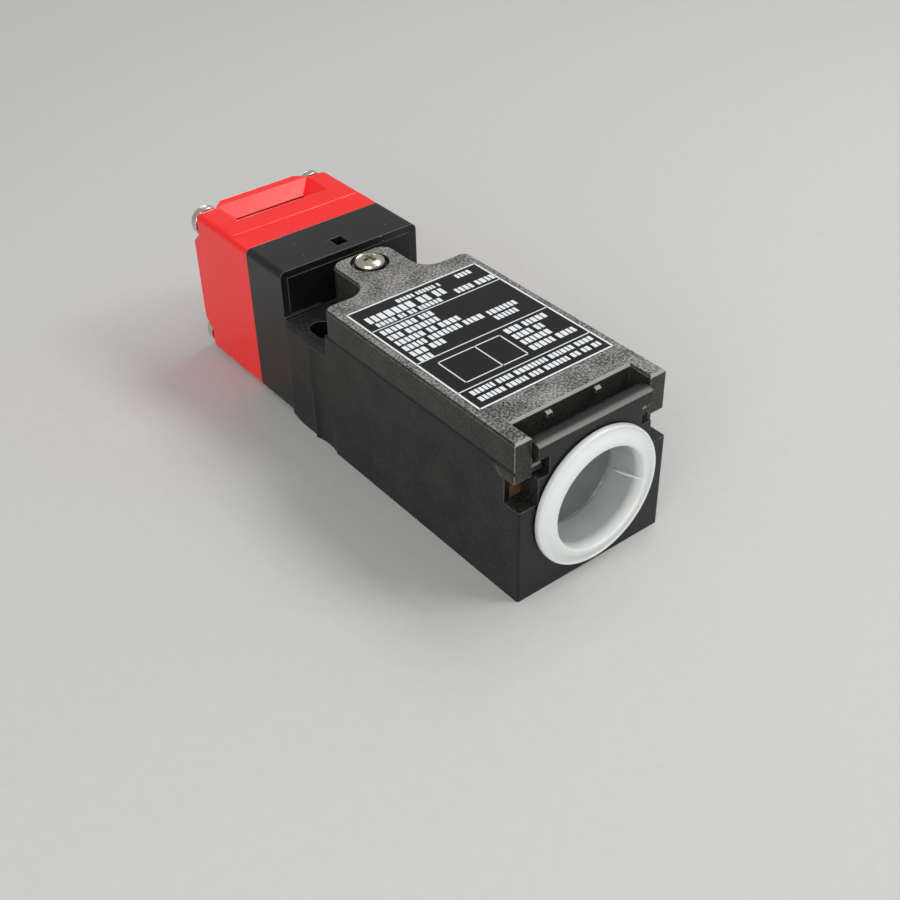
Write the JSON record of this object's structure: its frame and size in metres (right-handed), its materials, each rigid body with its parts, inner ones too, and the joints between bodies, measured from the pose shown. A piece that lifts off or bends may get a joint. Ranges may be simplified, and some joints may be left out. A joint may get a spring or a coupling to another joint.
{
  "type": "tongue interlock switch",
  "caption": "Plastic guard-door safety switch in the 30 mm housing, with a red head that takes a forked key from the top or the end, and a plugged M20 conduit entry.",
  "frame": {"origin": "centre of the bounding box on the back mounting face", "axes": "+Z out of the mounting face towards the cover, +Y along the switch from the conduit entry to the key head, +X across"},
  "size_m": [0.03, 0.097, 0.0303],
  "materials": {
    "housing_pbt": "glass-filled, rough",
    "cover_pbt": "glass-filled, worn edges",
    "head_pbt": "smooth satin",
    "cap_red": "moulded satin",
    "plug_ldpe": "milky, translucent",
    "zinc_steel": "nickel plated",
    "spring_steel": "drawn wire",
    "brass": "stamped",
    "silver_copper": "copper strip with silver tips",
    "nitrile": "brown rubber",
    "seal_rubber": "black rubber",
    "acetal": "natural acetal",
    "phenolic": "cream moulding"
  },
  "bodies": {
    "housing": {"base_housing": "housing_pbt", "cover_gasket": "nitrile", "cover_insert": "brass", "head_base": "head_pbt", "head_cap": "cap_red", "head_screws": "zinc_steel", "head_gasket": "seal_rubber", "cam_shaft": "zinc_steel", "plunger_seal": "seal_rubber", "contact_block": "phenolic", "block_lid": "phenolic", "nc_terminal_right": "brass", "nc_terminal_left": "brass", "no_terminal_right": "brass", "no_terminal_left": "brass", "terminal_screws": "zinc_steel", "return_spring": "spring_steel"},
    "cover": {"front_cover": "cover_pbt", "cover_screw": "zinc_steel"},
    "plug": {"conduit_plug": "plug_ldpe"},
    "cam": {"key_cam": "acetal"},
    "plunger": {"plunger": "acetal", "contact_slider": "acetal", "nc_spring": "spring_steel", "no_spring": "spring_steel"},
    "nc_bridge": {"nc_bridge": "silver_copper"},
    "no_bridge": {"no_bridge": "silver_copper"}
  },
  "joints": [
    {"name": "cam_turn", "type": "hinge", "parent": "housing", "child": "cam", "pos_m": [0, 0.03465, 0.0152], "axis": [1, 0, 0], "range_deg": [0, 55]},
    {"name": "plunger_slide", "type": "slide", "parent": "housing", "child": "plunger", "axis": [0, 1, 0], "range_m": [0, 0.0025], "stiffness_N_per_m": 200, "springref_m": -0.002, "deforming": ["return_spring", "nc_spring", "no_spring"]},
    {"name": "nc_bridge_slide", "type": "slide", "parent": "housing", "child": "nc_bridge", "axis": [0, 1, 0], "range_m": [0, 0.002]},
    {"name": "no_bridge_slide", "type": "slide", "parent": "housing", "child": "no_bridge", "axis": [0, 1, 0], "range_m": [0, 0.002]},
    {"name": "cover_hinge", "type": "hinge", "parent": "housing", "child": "cover", "pos_m": [0, -0.0443, 0.02332], "axis": [1, 0, 0], "range_deg": [0, 40]},
    {"name": "plug_pull", "type": "slide", "parent": "housing", "child": "plug", "axis": [0, -1, 0], "range_m": [0, 0.012]}
  ],
  "couplings": [
    {"joint": "cam_turn", "follows": "plunger_slide", "rad_per_m": 383.97},
    {"joint": "nc_bridge_slide", "follows": "plunger_slide", "ratio": 0.8},
    {"joint": "no_bridge_slide", "follows": "plunger_slide", "ratio": 0.8}
  ]
}
